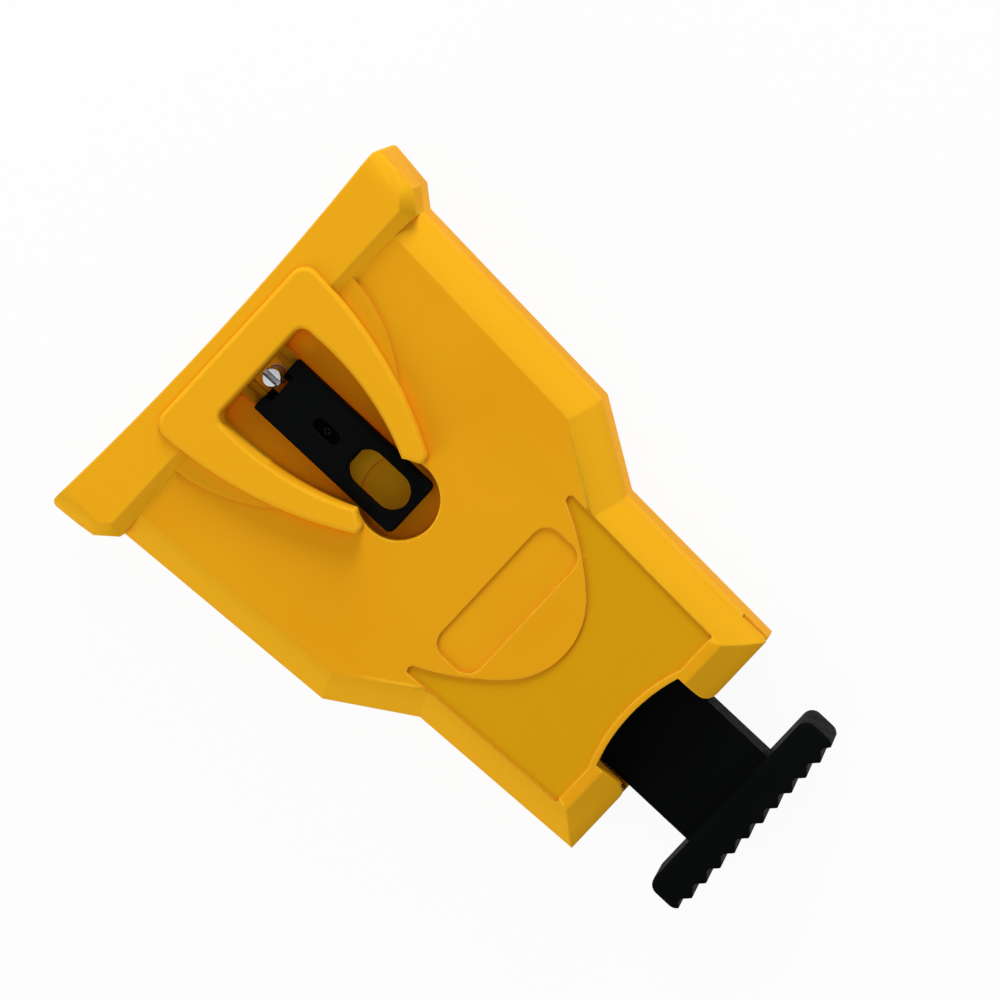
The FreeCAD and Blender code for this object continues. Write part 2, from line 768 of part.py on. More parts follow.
# ------------------------------------------------------------------ back casing
def back_casing():
    body = new_body("back_casing")
    pad(body, "upright", [hull()], "back_inset", "split")
    sink(body, "foot", [hull()], "0", "back_inset", "back_inset")
    pad(body, "flange", [flange("2 * flange_rise")], "back_inset", "split")
    sink(body, "flange_foot", [flange("2 * flange_rise")], "0", "back_inset", "back_inset")
    pocket(body, "mouth_curve", [beyond_mouth()], "-1", "split + 1")
    pocket(body, "cells", rim_cells(), "back_inset + wall / 2", "split + 1")
    pad(body, "braces", brace_outlines() + mouth_braces(), "back_inset", "split - 1")
    pocket(body, "room", [inner_room()], "wall", "split + 1")
    pocket(body, "tail_room", [box("-(guide_half + rib)", "hinge_y + relief + wall", "guide_half + rib",
                                   "stop_y - wall")], "wall", "split + 1")
    pocket(body, "bar_slot", [box("-bar_slot_half", "mouth_y - mouth_wall - 2 * wall", "bar_slot_half",
                                  "mouth_y + 1")], "split - bar_slot_rise", "split + 1")
    pad(body, "bosses", [("0", "latch_pin_y", "boss_radius"), ("0", "locating_pin_y", "boss_radius")],
        "wall / 2", "boss_top")
    pocket(body, "pin_holes", [("0", "latch_pin_y", "pin_stub_radius + pin_fit"),
                               ("0", "locating_pin_y", "pin_stub_radius + pin_fit")], "0", "boss_top + 1")
    pocket(body, "nut_recesses", [("0", "latch_pin_y", "nut_recess_radius"),
                                  ("0", "locating_pin_y", "nut_recess_radius")], "-1", "nut_recess_depth")
    pad(body, "boss_webs", boss_webs(), "wall / 2", "boss_top - wall")
    near, far = "stem_half + wall", "stem_half + 2 * wall"
    low, high = "stop_y - wall / 2", "carriage_front_y + handle_travel"
    pad(body, "slide_rails", [box(near, low, far, high), box(f"-({far})", low, f"-({near})", high)],
        "wall / 2", "stem_low - stem_clear")
    pocket(body, "stem_way", [box("-notch_half", "tail_y - 1", "notch_half", "stop_y + wall")],
           "stem_low - stem_clear", "split + 1")
    back_hinge(body)
    return body


def boss_webs():
    """Webs that run from each pin's boss across to the inner walls."""
    near, far = "boss_radius - 1", "bar_slot_half - wall"
    webs = []
    for pin in ("latch_pin_y", "locating_pin_y"):
        webs.append(box(near, f"{pin} - rib / 2", far, f"{pin} + rib / 2"))
        webs.append(box(f"-({far})", f"{pin} - rib / 2", f"-({near})", f"{pin} + rib / 2"))
    return webs


def back_hinge(body):
    """Four ears that carry the hinge pins, and a saddle under each of the front casing's knuckles."""
    outline = [
        ("hinge_y - knuckle_radius", "split - wall"),
        ("hinge_y + knuckle_radius", "split - wall"),
        ("hinge_y + knuckle_radius", "hinge_z", "knuckle_radius"),
        ("hinge_y", "hinge_z + knuckle_radius", "knuckle_radius"),
        ("hinge_y - knuckle_radius", "hinge_z"),
    ]
    for name, low in (("inner", "ear_inner"), ("outer", "ear_outer")):
        pad(body, f"{name}_ear_right", [outline], low, f"{low} + ear_width", plane="YZ_Plane")
        pad(body, f"{name}_ear_left", [outline], f"-({low} + ear_width)", f"-({low})", plane="YZ_Plane")
    near = "knuckle_inner - hinge_clear"
    far = "knuckle_inner + knuckle_width + hinge_clear"
    pocket(body, "saddles", [box(near, "tail_y - 1", far, "hinge_y + relief"),
                             box(f"-({far})", "tail_y - 1", f"-({near})", "hinge_y + relief")],
           "hinge_z - knuckle_radius - 2 * hinge_clear", "split + 1")
    hinge_hole(body, "hinge_hole", "hinge_pin_radius + pin_fit")


# ------------------------------------------------------------------ latch
def latch_slider():
    """Black slide with a fork for the pin's head, a tongue that catches its neck and a finger hole."""
    body = new_body("latch_slider")
    pad(body, "plate", [box("-slider_half", "slider_end_y", "slider_half", "slider_y")],
        "slider_low", "slider_top")
    middle = number("(slider_y + slider_end_y) / 2")
    round_edges(body, "finger_corners", "slider_corner", lambda edge: (
        upright(edge) and edge.BoundBox.YMin < middle))
    round_edges(body, "fork_corners", "slider_fork_corner", lambda edge: (
        upright(edge) and edge.BoundBox.YMin > middle))
    pad(body, "tongue", [box("-tongue_half", "tongue_y - tongue_length", "tongue_half", "tongue_y")],
        "tongue_low", "slider_low + 2 * slide_clear")
    head = "pin_radius + 2 * slide_clear"
    catch_y = "latch_pin_y - slider_travel"
    pocket(body, "head_room", [slot(head, catch_y, "slider_y + 1", open_top=True)],
           "tongue_top", "pin_top + 2 * slide_clear")
    neck = "pin_neck_radius + slide_clear"
    pocket(body, "catch", [slot(neck, catch_y, "slider_y + 1", open_top=True)],
           "tongue_low - 1", "tongue_top")
    pocket(body, "fork", [box("-fork_half", "slider_y - fork_depth", "fork_half", "slider_y + 1")],
           "tongue_top", "slider_top + 1")
    straight = "(finger_length / 2 - finger_half)"
    middle = "mouth_y - finger_gap"
    pocket(body, "finger_hole", [slot("finger_half", f"{middle} - {straight}", f"{middle} + {straight}")],
           "slider_low - 1", "slider_top + 1")
    reach = "(screw_pocket_length / 2 - screw_pocket_half)"
    pocket(body, "screw_pocket", [slot("screw_pocket_half", f"keeper_y - {reach}", f"keeper_y + {reach}")],
           "slider_top - screw_pocket_depth", "slider_top + 1")
    pocket(body, "screw_hole", [("0", "keeper_y", "small_screw_radius + running")],
           "tongue_low - 1", "slider_top")
    top = number("slider_top")
    inner = number("screw_pocket_half") + 0.1
    bevel_edges(body, "top_edges", "soft_edge / 2", lambda edge: (
        level(edge, top) and max(edge.BoundBox.XMax, -edge.BoundBox.XMin) > inner))
    return body


def slider_keeper():
    """Plate under the window's floor, with a neck up through the slot to the slider's tongue."""
    body = new_body("slider_keeper")
    along = "keeper_length / 2"
    pad(body, "plate", [box("-keeper_half", f"keeper_y - {along}", "keeper_half", f"keeper_y + {along}")],
        "keeper_top - keeper_thick", "keeper_top")
    round_edges(body, "corners", "slider_corner", upright)
    pad(body, "neck", [box("-keeper_neck_half", "keeper_y - keeper_neck_length / 2", "keeper_neck_half",
                           "keeper_y + keeper_neck_length / 2")],
        "keeper_top - keeper_thick / 2", "tongue_low")
    pocket(body, "screw_hole", [("0", "keeper_y", "small_screw_radius + running")],
           "keeper_top - keeper_thick - 1", "tongue_low + 1")
    return body


def slider_screw():
    head_low = "slider_top - screw_pocket_depth"
    foot = "keeper_top - keeper_thick"
    return turned("slider_screw", [
        ("0", foot),
        ("small_screw_radius", foot),
        ("small_screw_radius", head_low),
        ("small_head_radius", head_low),
        ("small_head_radius", f"{head_low} + small_head_rise / 2"),
        ("small_head_radius / 2", f"{head_low} + small_head_rise"),
        ("0", f"{head_low} + small_head_rise"),
    ], along="keeper_y")


def latch_pin():
    body = turned("latch_pin", [
        ("0", "stub_low"),
        ("pin_stub_radius", "stub_low"),
        ("pin_stub_radius", "boss_top"),
        ("pin_radius", "boss_top"),
        ("pin_radius", "pin_step"),
        ("pin_waist_radius", "pin_step"),
        ("pin_waist_radius", "pin_neck_low"),
        ("pin_neck_radius", "pin_neck_low"),
        ("pin_neck_radius", "pin_head_low"),
        ("pin_radius", "pin_head_low"),
        ("pin_radius", "pin_top - pin_slot_depth / 3"),
        ("pin_radius - pin_slot_depth / 3", "pin_top"),
        ("0", "pin_top"),
    ], along="latch_pin_y")
    pocket(body, "slot", [box("-pin_slot_half", "-(pin_radius + 1)", "pin_slot_half", "pin_radius + 1")],
           "pin_top - pin_slot_depth", "pin_top + 1")
    return body


def locating_pin():
    return turned("locating_pin", [
        ("0", "stub_low"),
        ("pin_stub_radius", "stub_low"),
        ("pin_stub_radius", "boss_top"),
        ("pin_radius", "boss_top"),
        ("pin_radius", "locating_pin_top - pin_radius / 2"),
        ("pin_radius / 3", "locating_pin_top"),
        ("0", "locating_pin_top"),
    ], along="locating_pin_y")


def pin_fixings(name, along):
    """Washer and nut that hold a pin from the recess in the back casing's underside."""
    low = "nut_recess_depth - washer_thick"
    turned(f"{name}_washer", [
        ("pin_stub_radius + pin_fit", low),
        ("washer_radius", low),
        ("washer_radius", "nut_recess_depth"),
        ("pin_stub_radius + pin_fit", "nut_recess_depth"),
    ], along=along)
    hex_nut(f"{name}_nut", "nut_flats", "pin_stub_radius + pin_fit",
            f"{low} - nut_thick", "nut_thick", along=along)


# ------------------------------------------------------------------ push handle, stone and clamp
def push_handle():
    """T-shaped grip with a toothed outer face, stem, and the carriage that holds the stone."""
    body = new_body("push_handle")
    inner_y = "mouth_y - bar_inner_gap"
    outer_y = "mouth_y - bar_outer_gap"
    pad(body, "carriage", [box("-carriage_half", "carriage_back_y", "carriage_half", "carriage_front_y")],
        "stem_low", "stem_top")
    round_edges(body, "carriage_corners", "soft_edge * 2", upright)
    pad(body, "stem", [box("-stem_half", f"{inner_y} - soft_edge",
                           "stem_half", "carriage_back_y + soft_edge")], "stem_low", "stem_top")
    pad(body, "grip", [box("-bar_half", outer_y, "bar_half", inner_y)],
        "split - bar_half_thick", "split + bar_half_thick")
    far = number("bar_half")
    round_edges(body, "grip_ends", "bar_corner", lambda edge: (
        upright(edge) and abs(abs(edge.BoundBox.XMin) - far) < 0.01))
    teeth = int(number("(bar_half - bar_corner) * 2") // number("tooth_pitch")) + 1
    outlines = []
    for k in range(teeth):
        middle = f"({k} - {teeth - 1} / 2) * tooth_pitch"
        outlines.append([
            (f"{middle} - tooth_pitch * 0.46", f"{outer_y} - 0.01"),
            (f"{middle} + tooth_pitch * 0.46", f"{outer_y} - 0.01"),
            (f"{middle} + tooth_pitch * 0.08", f"{outer_y} + tooth_depth"),
            (f"{middle} - tooth_pitch * 0.08", f"{outer_y} + tooth_depth"),
        ])
    pocket(body, "teeth", outlines, "split - bar_half_thick - 1", "split + bar_half_thick + 1")
    top = number("split + bar_half_thick")
    low = number("split - bar_half_thick")
    inner = number(inner_y)
    bevel_edges(body, "grip_edges", "soft_edge", lambda edge: (
        (level(edge, top) or level(edge, low)) and abs(edge.BoundBox.YMax - inner) < 0.01
        and edge.BoundBox.YLength < 0.01))
    centre_y = "stone_back_y + stone_back_radius"
    pocket(body, "stone_nest", [("0", centre_y, "stone_back_radius + stone_fit")],
           "stone_low", "stem_top + 1")
    pocket(body, "clamp_seat", [box("-(clamp_half + slide_clear)", "mouth_y - clamp_back_gap - slide_clear",
                                    "clamp_half + slide_clear", "stone_back_y + wall")],
           "stone_top", "stem_top + 1")
    pocket(body, "clamp_hole", [("0", "clamp_y", "clamp_screw_radius + running")],
           "stem_low - 1", "stone_top + 1")
    return body


def grinding_stone():
    """Crescent of abrasive: convex back in the carriage, hollow face towards the chain."""
    body = new_body("grinding_stone")
    front = "stone_front_y + stone_front_radius - sqrt(stone_front_radius ^ 2 - stone_half ^ 2)"
    back = "stone_back_y + stone_back_radius - sqrt(stone_back_radius ^ 2 - stone_half ^ 2)"
    pad(body, "crescent", [both_sides([
        ("stone_half", back),
        ("stone_half", front),
    ], top="-stone_front_radius", low="stone_back_radius")], "stone_low", "stone_top")
    return body


def stone_clamp():
    body = new_body("stone_clamp")
    pad(body, "plate", [box("-clamp_half", "mouth_y - clamp_back_gap",
                            "clamp_half", "mouth_y - clamp_front_gap")],
        "stone_top", "stone_top + clamp_thick")
    round_edges(body, "corners", "slider_corner", upright)
    pocket(body, "screw_hole", [("0", "clamp_y", "clamp_screw_radius + running")],
           "stone_top - 1", "stone_top + clamp_thick + 1")
    return body


def clamp_screw():
    seat = "stone_top + clamp_thick"
    foot = "stem_low - clamp_nut_thick - slide_clear"
    return turned("clamp_screw", [
        ("0", foot),
        ("clamp_screw_radius", foot),
        ("clamp_screw_radius", seat),
        ("clamp_head_radius", seat),
        ("clamp_head_radius", f"{seat} + clamp_head_rise / 3"),
        ("clamp_head_radius / 2", f"{seat} + clamp_head_rise"),
        ("0", f"{seat} + clamp_head_rise"),
    ], along="clamp_y")


def hinge_pin(name, sign):
    """Plain pin along X, from the inner ear to the outer one."""
    body = new_body(name)
    low = "ear_inner" if sign > 0 else "-(ear_outer + ear_width)"
    high = "ear_outer + ear_width" if sign > 0 else "-ear_inner"
    pad(body, "rod", [("hinge_y", "hinge_z", "hinge_pin_radius")], low, high, plane="YZ_Plane")
    return body


# ------------------------------------------------------------------ the whole part
front_casing()
back_casing()
latch_slider()
slider_keeper()
slider_screw()
latch_pin()
locating_pin()
pin_fixings("latch_pin", "latch_pin_y")
pin_fixings("locating_pin", "locating_pin_y")
push_handle()
grinding_stone()
stone_clamp()
clamp_screw()
hex_nut("clamp_nut", "clamp_nut_flats", "clamp_screw_radius + pin_fit", "stem_low - clamp_nut_thick",
        "clamp_nut_thick", along="clamp_y")
hinge_pin("hinge_pin_right", 1)
hinge_pin("hinge_pin_left", -1)
doc.recompute()

for item in doc.Objects:
    if "Invalid" in item.State or "Error" in item.State:
        raise RuntimeError(f"{item.Name}: {item.State}")
os.makedirs("parts", exist_ok=True)
for item in doc.Objects:
    if item.TypeId == "PartDesign::Body" or item.TypeId == "Part::Cut":
        if item.Shape.isNull() or not item.Shape.isValid():
            raise RuntimeError(f"{item.Label} has no valid shape")
        item.Shape.exportStep(f"parts/{item.Label}.step")
        reach = item.Shape.BoundBox
        print(f"{item.Label}: {len(item.Shape.Solids)} solid, {item.Shape.Volume:.0f} mm3,"
              f" X {reach.XMin:.2f} {reach.XMax:.2f} Y {reach.YMin:.2f} {reach.YMax:.2f}"
              f" Z {reach.ZMin:.2f} {reach.ZMax:.2f}")
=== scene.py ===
import json
import math
import bmesh
import bpy
from mathutils import Matrix, Vector
from mathutils.bvhtree import BVHTree


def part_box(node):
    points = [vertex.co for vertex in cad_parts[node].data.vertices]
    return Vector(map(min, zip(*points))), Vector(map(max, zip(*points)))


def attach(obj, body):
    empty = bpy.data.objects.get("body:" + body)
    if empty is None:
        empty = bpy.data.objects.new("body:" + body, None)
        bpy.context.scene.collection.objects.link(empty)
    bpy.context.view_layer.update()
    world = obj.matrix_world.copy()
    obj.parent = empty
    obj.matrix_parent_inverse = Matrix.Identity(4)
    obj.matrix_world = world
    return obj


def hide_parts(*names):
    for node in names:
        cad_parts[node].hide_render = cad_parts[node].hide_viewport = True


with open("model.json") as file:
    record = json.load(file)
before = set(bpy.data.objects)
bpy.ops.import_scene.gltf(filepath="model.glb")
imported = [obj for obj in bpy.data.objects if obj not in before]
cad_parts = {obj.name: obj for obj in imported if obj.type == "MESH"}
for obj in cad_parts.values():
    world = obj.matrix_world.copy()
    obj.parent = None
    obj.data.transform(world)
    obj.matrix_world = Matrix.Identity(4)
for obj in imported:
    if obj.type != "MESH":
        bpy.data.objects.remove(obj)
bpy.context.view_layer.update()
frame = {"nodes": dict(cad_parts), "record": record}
nodes = frame["nodes"]
scene = bpy.context.scene
mm = 0.001
print("frame loaded:", len(nodes), "nodes")


# small steps that every node tree is made of
def feed(tree, value, socket):
    if isinstance(value, (int, float, tuple)):
        socket.default_value = value
    else:
        tree.links.new(value, socket)


def mathNode(tree, operation, first, second=None):
    node = tree.nodes.new("ShaderNodeMath")
    node.operation = operation
    feed(tree, first, node.inputs[0])
    if second is not None:
        feed(tree, second, node.inputs[1])
    return node.outputs[0]


def mixColour(tree, share, first, second):
    node = tree.nodes.new("ShaderNodeMix")
    node.data_type = "RGBA"
    for slot, value in ((0, share), (6, first), (7, second)):
        feed(tree, value, node.inputs[slot])
    return node.outputs[2]


def spread(tree, value, low, high, outLow, outHigh):
    node = tree.nodes.new("ShaderNodeMapRange")
    for slot, part in enumerate((value, low, high, outLow, outHigh)):
        feed(tree, part, node.inputs[slot])
    return node.outputs[0]


def separated(tree, vector):
    node = tree.nodes.new("ShaderNodeSeparateXYZ")
    tree.links.new(vector, node.inputs[0])
    return node.outputs


def bumpOver(tree, height, strength, distance, normal):
    node = tree.nodes.new("ShaderNodeBump")
    for label, value in (("Strength", strength), ("Distance", distance), ("Height", height),
                         ("Normal", normal)):
        feed(tree, value, node.inputs[label])
    return node.outputs[0]


# camera, lights and floor
cameraLook = {
    "target": (0.01446, 0.01045, 0.017),
    "towardsCamera": (0.14, -0.0114, 0.9901),
    "up": (0.7345, 0.6786, 0.0),
    "distance": 1.667,
    "frameWidth": 0.2449,       # how wide the frame is at the target
    "sensor": 36,
    "clip": (0.1, 20),
}


def makeCamera(look):
    towards = Vector(look["towardsCamera"]).normalized()
    right = Vector(look["up"]).cross(towards).normalized()
    up = towards.cross(right)
    data = bpy.data.cameras.new("camera")
    data.sensor_width = look["sensor"]
    data.lens = look["sensor"] * look["distance"] / look["frameWidth"]
    data.clip_start, data.clip_end = look["clip"]
    camera = bpy.data.objects.new("camera", data)
    turn = Matrix((right, up, towards)).transposed().to_4x4()
    place = Vector(look["target"]) + towards * look["distance"]
    camera.matrix_world = Matrix.Translation(place) @ turn
    scene.collection.objects.link(camera)
    scene.camera = camera


studio = {
    "skyStrength": 0.57,
    "aim": (0, 0, 0.02),
    "keyPlace": (1.06, 0.78, 0.52),     # beyond the right-hand end of the mouth, fairly low
    "keyPower": 15.0,
    "keySize": 0.7,
    "fillPlace": (-1.15, 0.25, 0.6),
    "fillPower": 7.3,
    "fillSize": 1.1,
    "backdrop": (1, 1, 1, 1),
    "floorColour": (0.82, 0.82, 0.82, 1),
    "floorGlow": 0.94,          # how much of the floor is plain white to the camera
    "floorSize": 6.0,
    "floorDrop": 0.0002,
}


def makeLamp(name, place, size, power):
    data = bpy.data.lights.new(name, "AREA")
    data.shape = "DISK"
    data.size = size
    data.energy = power
    lamp = bpy.data.objects.new(name, data)
    lamp.location = place
    lamp.rotation_mode = "QUATERNION"
    lamp.rotation_quaternion = (Vector(place) - Vector(studio["aim"])).to_track_quat("Z", "Y")
    scene.collection.objects.link(lamp)


def looksAt(tree):
    # 1 where the backdrop is looked at, mirrored or seen through, 0 where it only gives light
    rays = tree.nodes.new("ShaderNodeLightPath").outputs
    seen = mathNode(tree, "MAXIMUM", rays["Is Camera Ray"], rays["Is Glossy Ray"])
    return mathNode(tree, "MAXIMUM", seen, rays["Is Transmission Ray"])


def mixShaders(tree, share, first, second, surface):
    mix = tree.nodes.new("ShaderNodeMixShader")
    for slot, value in enumerate((share, first.outputs[0], second.outputs[0])):
        tree.links.new(value, mix.inputs[slot])
    tree.links.new(mix.outputs[0], surface)


def makeSky(look):
    world = bpy.data.worlds.new("studio")
    world.use_nodes = True
    scene.world = world
    tree = world.node_tree
    light = tree.nodes["Background"]
    backdrop = tree.nodes.new("ShaderNodeBackground")
    for node, strength in ((light, look["skyStrength"]), (backdrop, 1)):
        node.inputs["Color"].default_value = look["backdrop"]
        node.inputs["Strength"].default_value = strength
    surface = tree.nodes["World Output"].inputs["Surface"]
    mixShaders(tree, looksAt(tree), light, backdrop, surface)


def makeFloor(look):
    half = look["floorSize"] / 2
    corners = [(x * half, y * half, -look["floorDrop"])
               for x, y in ((-1, -1), (1, -1), (1, 1), (-1, 1))]
    mesh = bpy.data.meshes.new("floor")
    mesh.from_pydata(corners, [], [(0, 1, 2, 3)])
    floor = bpy.data.objects.new("floor", mesh)
    scene.collection.objects.link(floor)
    material = bpy.data.materials.new("paleFloor")
    material.use_nodes = True
    tree = material.node_tree
    tree.nodes.clear()
    plain = tree.nodes.new("ShaderNodeBsdfDiffuse")
    plain.inputs["Color"].default_value = look["floorColour"]
    glow = tree.nodes.new("ShaderNodeEmission")
    surface = tree.nodes.new("ShaderNodeOutputMaterial").inputs["Surface"]
    share = mathNode(tree, "MULTIPLY", looksAt(tree), look["floorGlow"])
    mixShaders(tree, share, plain, glow, surface)
    mesh.materials.append(material)


makeCamera(cameraLook)
makeSky(studio)
makeLamp("keyLamp", studio["keyPlace"], studio["keySize"], studio["keyPower"])
makeLamp("fillLamp", studio["fillPlace"], studio["fillSize"], studio["fillPower"])
makeFloor(studio)
scene.view_settings.view_transform = "Standard"
print("camera, lights and floor made")


# shader groups that the materials share
lookupSamples = 6               # rays for each look at a rounded edge or a hollow
grainLook = {
    "fineDetail": 3,
    "fineRoughness": 0.6,
    "cloudDetail": 2,
    "speckDetail": 1,
    "speckPitch": 420,
    "cloudRange": (0.35, 0.65),
    "speckRange": (0.3, 0.7),
}


def newGroup(name, inputs, outputs):
    tree = bpy.data.node_groups.new(name, "ShaderNodeTree")
    for label, value in inputs:
        socket = tree.interface.new_socket(label, in_out="INPUT", socket_type="NodeSocketFloat")
        socket.default_value = value
    for label, kind in outputs:
        tree.interface.new_socket(label, in_out="OUTPUT", socket_type=kind)
    return tree, tree.nodes.new("NodeGroupInput").outputs, tree.nodes.new("NodeGroupOutput").inputs


def makeRoundedEdges():
    tree, given, made = newGroup("roundedEdges", [("Radius", 0.0004), ("Sharpness", 9.0)],
                                 [("Normal", "NodeSocketVector"), ("Edge", "NodeSocketFloat")])
    bevel = tree.nodes.new("ShaderNodeBevel")
    bevel.samples = lookupSamples
    surface = tree.nodes.new("ShaderNodeNewGeometry")
    turn = tree.nodes.new("ShaderNodeVectorMath")
    turn.operation = "DOT_PRODUCT"
    tree.links.new(given["Radius"], bevel.inputs["Radius"])
    tree.links.new(bevel.outputs[0], turn.inputs[0])
    tree.links.new(surface.outputs["Normal"], turn.inputs[1])
    lean = mathNode(tree, "SUBTRACT", 1.0, turn.outputs["Value"])
    edge = mathNode(tree, "MULTIPLY", lean, given["Sharpness"])
    tree.links.new(bevel.outputs[0], made["Normal"])
    tree.links.new(mathNode(tree, "MINIMUM", edge, 1.0), made["Edge"])
    return tree


def makeMouldGrain(look):
    tree, given, made = newGroup(
        "mouldGrain", [("Pitch", 2200.0), ("Cloud Pitch", 26.0)],
        [(label, "NodeSocketFloat") for label in ("Height", "Cloud", "Speck")])
    place = tree.nodes.new("ShaderNodeTexCoord")
    for label, pitch, detail in (("Height", given["Pitch"], look["fineDetail"]),
                                 ("Cloud", given["Cloud Pitch"], look["cloudDetail"]),
                                 ("Speck", look["speckPitch"], look["speckDetail"])):
        texture = tree.nodes.new("ShaderNodeTexNoise")
        texture.inputs["Detail"].default_value = detail
        if label == "Height":
            texture.inputs["Roughness"].default_value = look["fineRoughness"]
        feed(tree, pitch, texture.inputs["Scale"])
        tree.links.new(place.outputs["Object"], texture.inputs["Vector"])
        tree.links.new(texture.outputs["Fac"], made[label])
    return tree


def makeHollows():
    # how shut in a spot is by the piece's own walls
    tree, given, made = newGroup(
        "hollows", [("Reach", 0.007), ("Open Share", 0.25), ("Strength", 1.8)],
        [("Shut", "NodeSocketFloat")])
    around = tree.nodes.new("ShaderNodeAmbientOcclusion")
    around.samples = lookupSamples
    around.only_local = True
    tree.links.new(given["Reach"], around.inputs["Distance"])
    shut = mathNode(tree, "SUBTRACT", 1.0, around.outputs["AO"])
    shut = mathNode(tree, "SUBTRACT", shut, given["Open Share"])
    shut = mathNode(tree, "MULTIPLY", mathNode(tree, "MAXIMUM", shut, 0.0), given["Strength"])
    tree.links.new(mathNode(tree, "MINIMUM", shut, 1.0), made["Shut"])
    return tree


def makeLevels():
    tree, given, made = newGroup("levels", [("Low", 0.03315), ("High", 0.03345)],
                                 [("Between", "NodeSocketFloat"), ("Above", "NodeSocketFloat")])
    place = tree.nodes.new("ShaderNodeTexCoord")
    height = separated(tree, place.outputs["Object"])["Z"]
    overLow = mathNode(tree, "GREATER_THAN", height, given["Low"])
    overHigh = mathNode(tree, "GREATER_THAN", height, given["High"])
    tree.links.new(mathNode(tree, "SUBTRACT", overLow, overHigh), made["Between"])
    tree.links.new(overHigh, made["Above"])
    return tree


roundedEdges = makeRoundedEdges()
mouldGrain = makeMouldGrain(grainLook)
hollows = makeHollows()
levels = makeLevels()


def placeGroup(tree, group, values):
    node = tree.nodes.new("ShaderNodeGroup")
    node.node_tree = group
    for label, value in values.items():
        node.inputs[label].default_value = value
    return node.outputs


def newMaterial(name):
    material = bpy.data.materials.new(name)
    material.use_nodes = True
    tree = material.node_tree
    return material, tree, tree.nodes["Principled BSDF"].inputs


def roughAndGrained(tree, shader, grain, normal, look):
    rough = spread(tree, grain["Speck"], *grainLook["speckRange"], *look["rough"])
    bump = bumpOver(tree, grain["Height"], look["grainStrength"], look["grainDepth"], normal)
    tree.links.new(rough, shader["Roughness"])
    tree.links.new(bump, shader["Normal"])


mouldedPlastic = {
    "yellow": {
        "colour": (0.770, 0.350, 0.0075, 1),
        "deep": (0.745, 0.330, 0.0065, 1),
        # edge: painted highlight along rounded edges
        "edge": (1.0, 0.58, 0.035, 1),
        "edgeHighlightShare": 0.75,
        "corner": (0.50, 0.13, 0.002, 1),       # painted shade along the line where a wall meets its floor
        "cornerShadeShare": 0.55,
        "cornerShadeHollow": {"Reach": 0.0013, "Open Share": 0.14, "Strength": 2.6},
        "hollow": (1.0, 0.31, 0.003, 1),        # painted warm bounce light: hollows get a redder colour, as if the plastic lit itself
        "hollowLightStrength": 2.0,
        "panel": (0.64, 0.315, 0.004, 1),
        # painted highlight: leaning faces get a lighter, yellower colour
        "slopeHighlight": (0.80, 0.395, 0.010, 1),
        # painted light: the flange and frame tops are lighter than the body's top
        "raisedHighlight": (0.82, 0.385, 0.009, 1),
        "gloss": 0.022,
        "rough": (0.52, 0.64),
        "edgeRadius": 0.0008,
        "grainDepth": 0.00003,
        "grainStrength": 0.35,
    },
    "black": {
        "colour": (0.0034, 0.0038, 0.0040, 1),
        "deep": (0.0026, 0.0029, 0.0031, 1),
        # edge: painted highlight along rounded edges
        "edge": (0.008, 0.010, 0.013, 1),
        "edgeHighlightShare": 0.5,
        "gloss": 0.004,
        "rough": (0.46, 0.60),
        "edgeRadius": 0.0004,
        "grainDepth": 0.00003,
        "grainStrength": 0.45,
    },
}
highlightSpecks = (0.35, 0.6, 0.55, 1.0)       # range of specks, and how much of the painted edge highlight they leave
casingMarks = {
    "panelFloor": {"Low": 0.03315, "High": 0.03345},    # heights round the grip panel's floor
    "raisedTop": {"High": 0.0365},      # the flange and the frame rise above this
    "plateHalf": 0.0213,        # the plate recess is as deep, but keeps the body's colour
    "plateFrom": -0.0143,
    "levelFace": 0.985,         # upward part of a normal, from here on a level face
    "slopeFaces": (0.82, 0.99),
    "wallFaces": (0.05, 0.3),
}


def panelMask(tree, marks):
    floor = placeGroup(tree, levels, marks["panelFloor"])
    place = tree.nodes.new("ShaderNodeTexCoord").outputs
    at = separated(tree, place["Object"])
    across = mathNode(tree, "LESS_THAN", mathNode(tree, "ABSOLUTE", at["X"]), marks["plateHalf"])
    along = mathNode(tree, "GREATER_THAN", at["Y"], marks["plateFrom"])
    onPlate = mathNode(tree, "MULTIPLY", across, along)
    facing = separated(tree, place["Normal"])["Z"]
    level = mathNode(tree, "GREATER_THAN", facing, marks["levelFace"])
    floorOnly = mathNode(tree, "MULTIPLY", floor["Between"], level)
    return mathNode(tree, "MULTIPLY", floorOnly, mathNode(tree, "SUBTRACT", 1.0, onPlate))


def slopeMask(tree, marks):
    # faces that are neither level nor upright; they get the painted slope highlight
    facing = separated(tree, tree.nodes.new("ShaderNodeTexCoord").outputs["Normal"])["Z"]
    notLevel = spread(tree, facing, *marks["slopeFaces"], 1.0, 0.0)
    notWall = spread(tree, facing, *marks["wallFaces"], 0.0, 1.0)
    return mathNode(tree, "MULTIPLY", notLevel, notWall)


def casingTones(tree, body, look):
    top = placeGroup(tree, levels, casingMarks["raisedTop"])
    shut = placeGroup(tree, hollows, {"Strength": look["hollowLightStrength"]})
    # the grip panel's own darker tone, then painted light on raised tops and slopes and painted
    # warm bounce light in hollows
    for mask, tone in ((panelMask(tree, casingMarks), "panel"), (top["Above"], "raisedHighlight"),
                       (slopeMask(tree, casingMarks), "slopeHighlight"), (shut["Shut"], "hollow")):
        body = mixColour(tree, mask, body, look[tone])
    return body


